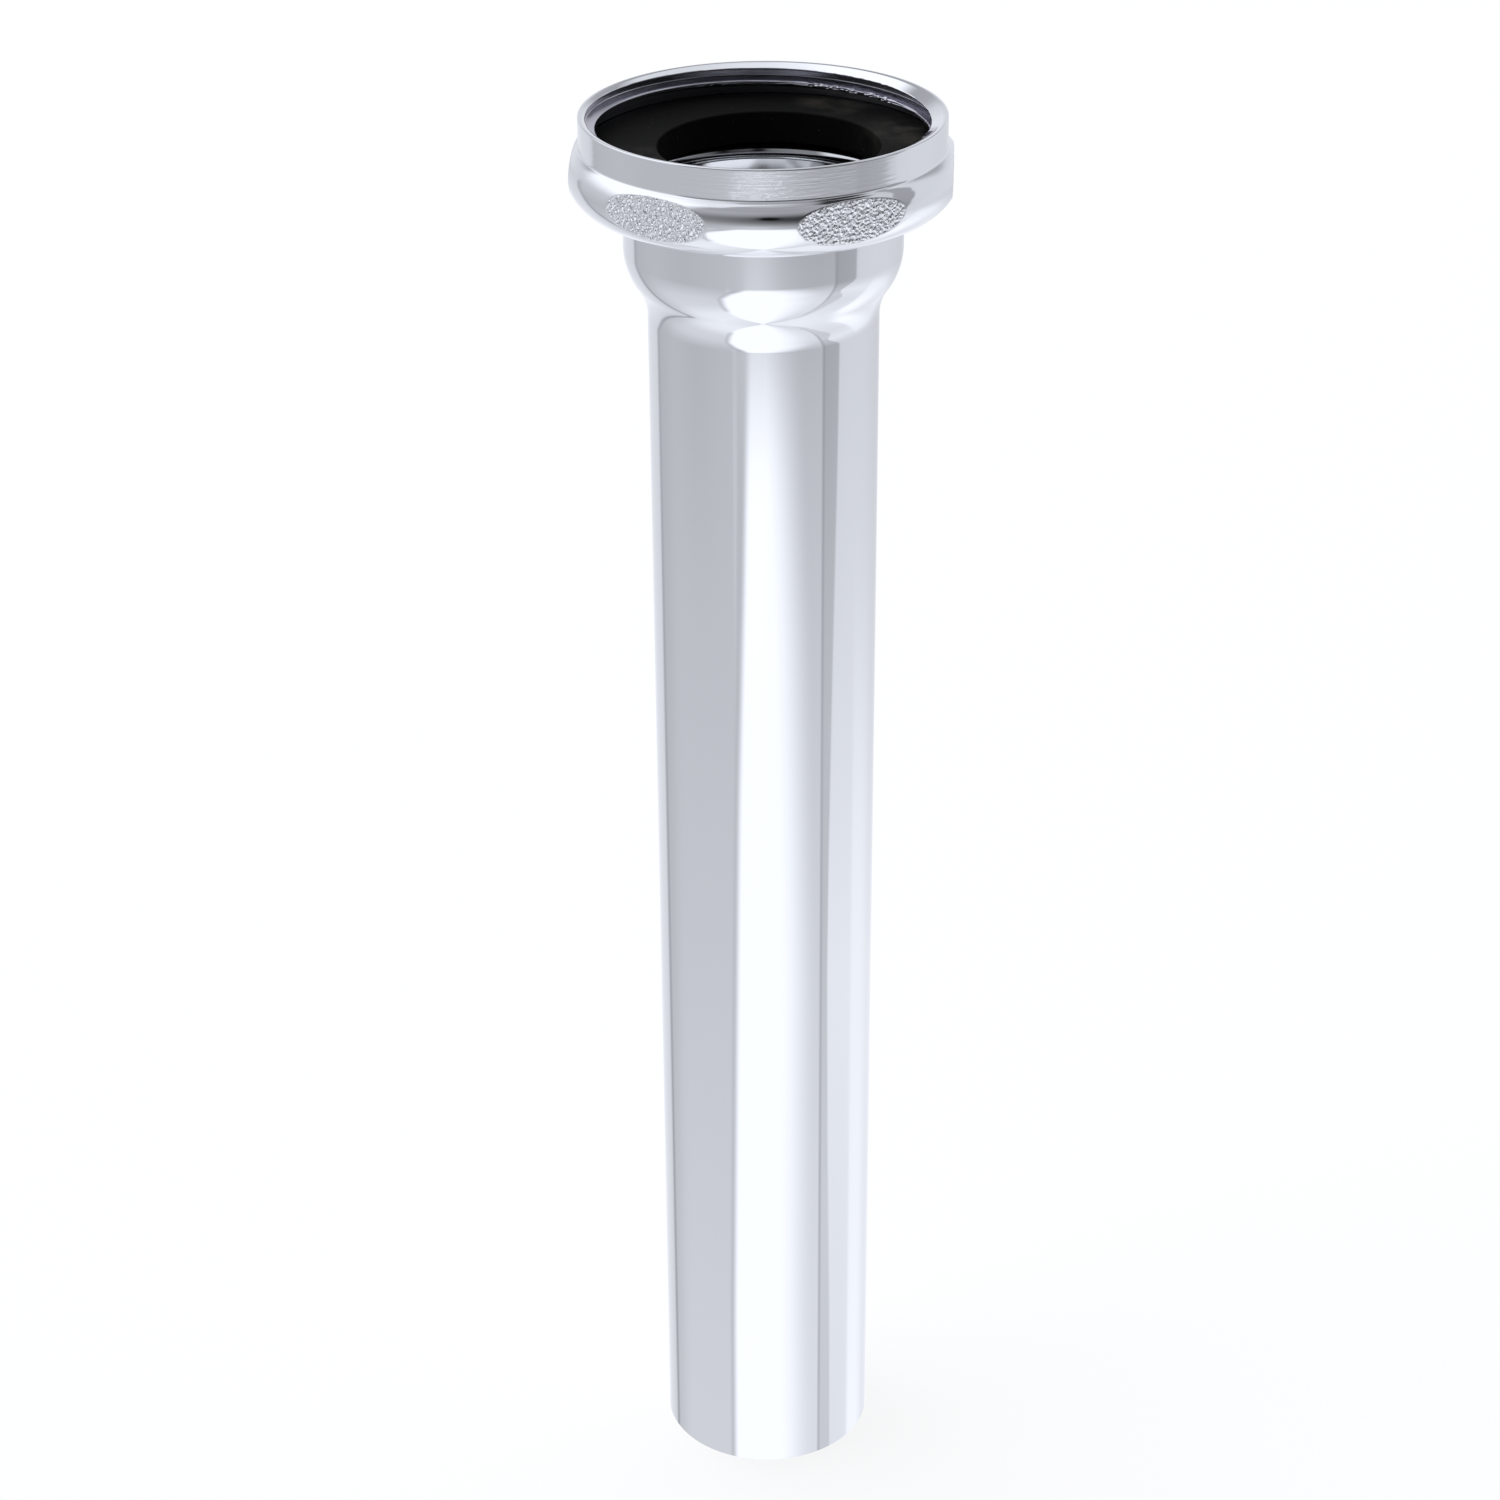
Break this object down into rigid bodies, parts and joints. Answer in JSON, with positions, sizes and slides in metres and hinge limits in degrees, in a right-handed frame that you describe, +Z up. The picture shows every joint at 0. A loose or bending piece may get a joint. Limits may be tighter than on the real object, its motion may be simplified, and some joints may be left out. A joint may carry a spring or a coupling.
{
  "type": "basin waste tail pipe",
  "caption": "Straight polished drain tube with a rounded bell and flange at its top, held in a freely turning threaded coupling nut with a flat rubber washer inside.",
  "frame": {"origin": "centre of the pipe's plain lower end, where it stands", "axes": "+Z up along the pipe's axis towards the nut, +X to the right and -Y towards the viewer of the picture"},
  "size_m": [0.0518, 0.0532, 0.2144],
  "materials": {
    "plated_tube": "bright chrome plate on drawn brass",
    "plated_nut": "bright chrome plate on turned brass, with grained pads",
    "black_rubber": "matte black"
  },
  "bodies": {
    "pipe": {"tail_pipe": "plated_tube"},
    "nut": {"coupling_nut": "plated_nut", "sealing_washer": "black_rubber"}
  },
  "joints": [
    {"name": "nut_swivel", "type": "hinge", "parent": "pipe", "child": "nut", "pos_m": [0, 0, 0.2056], "axis": [0, 0, 1], "continuous": true}
  ]
}
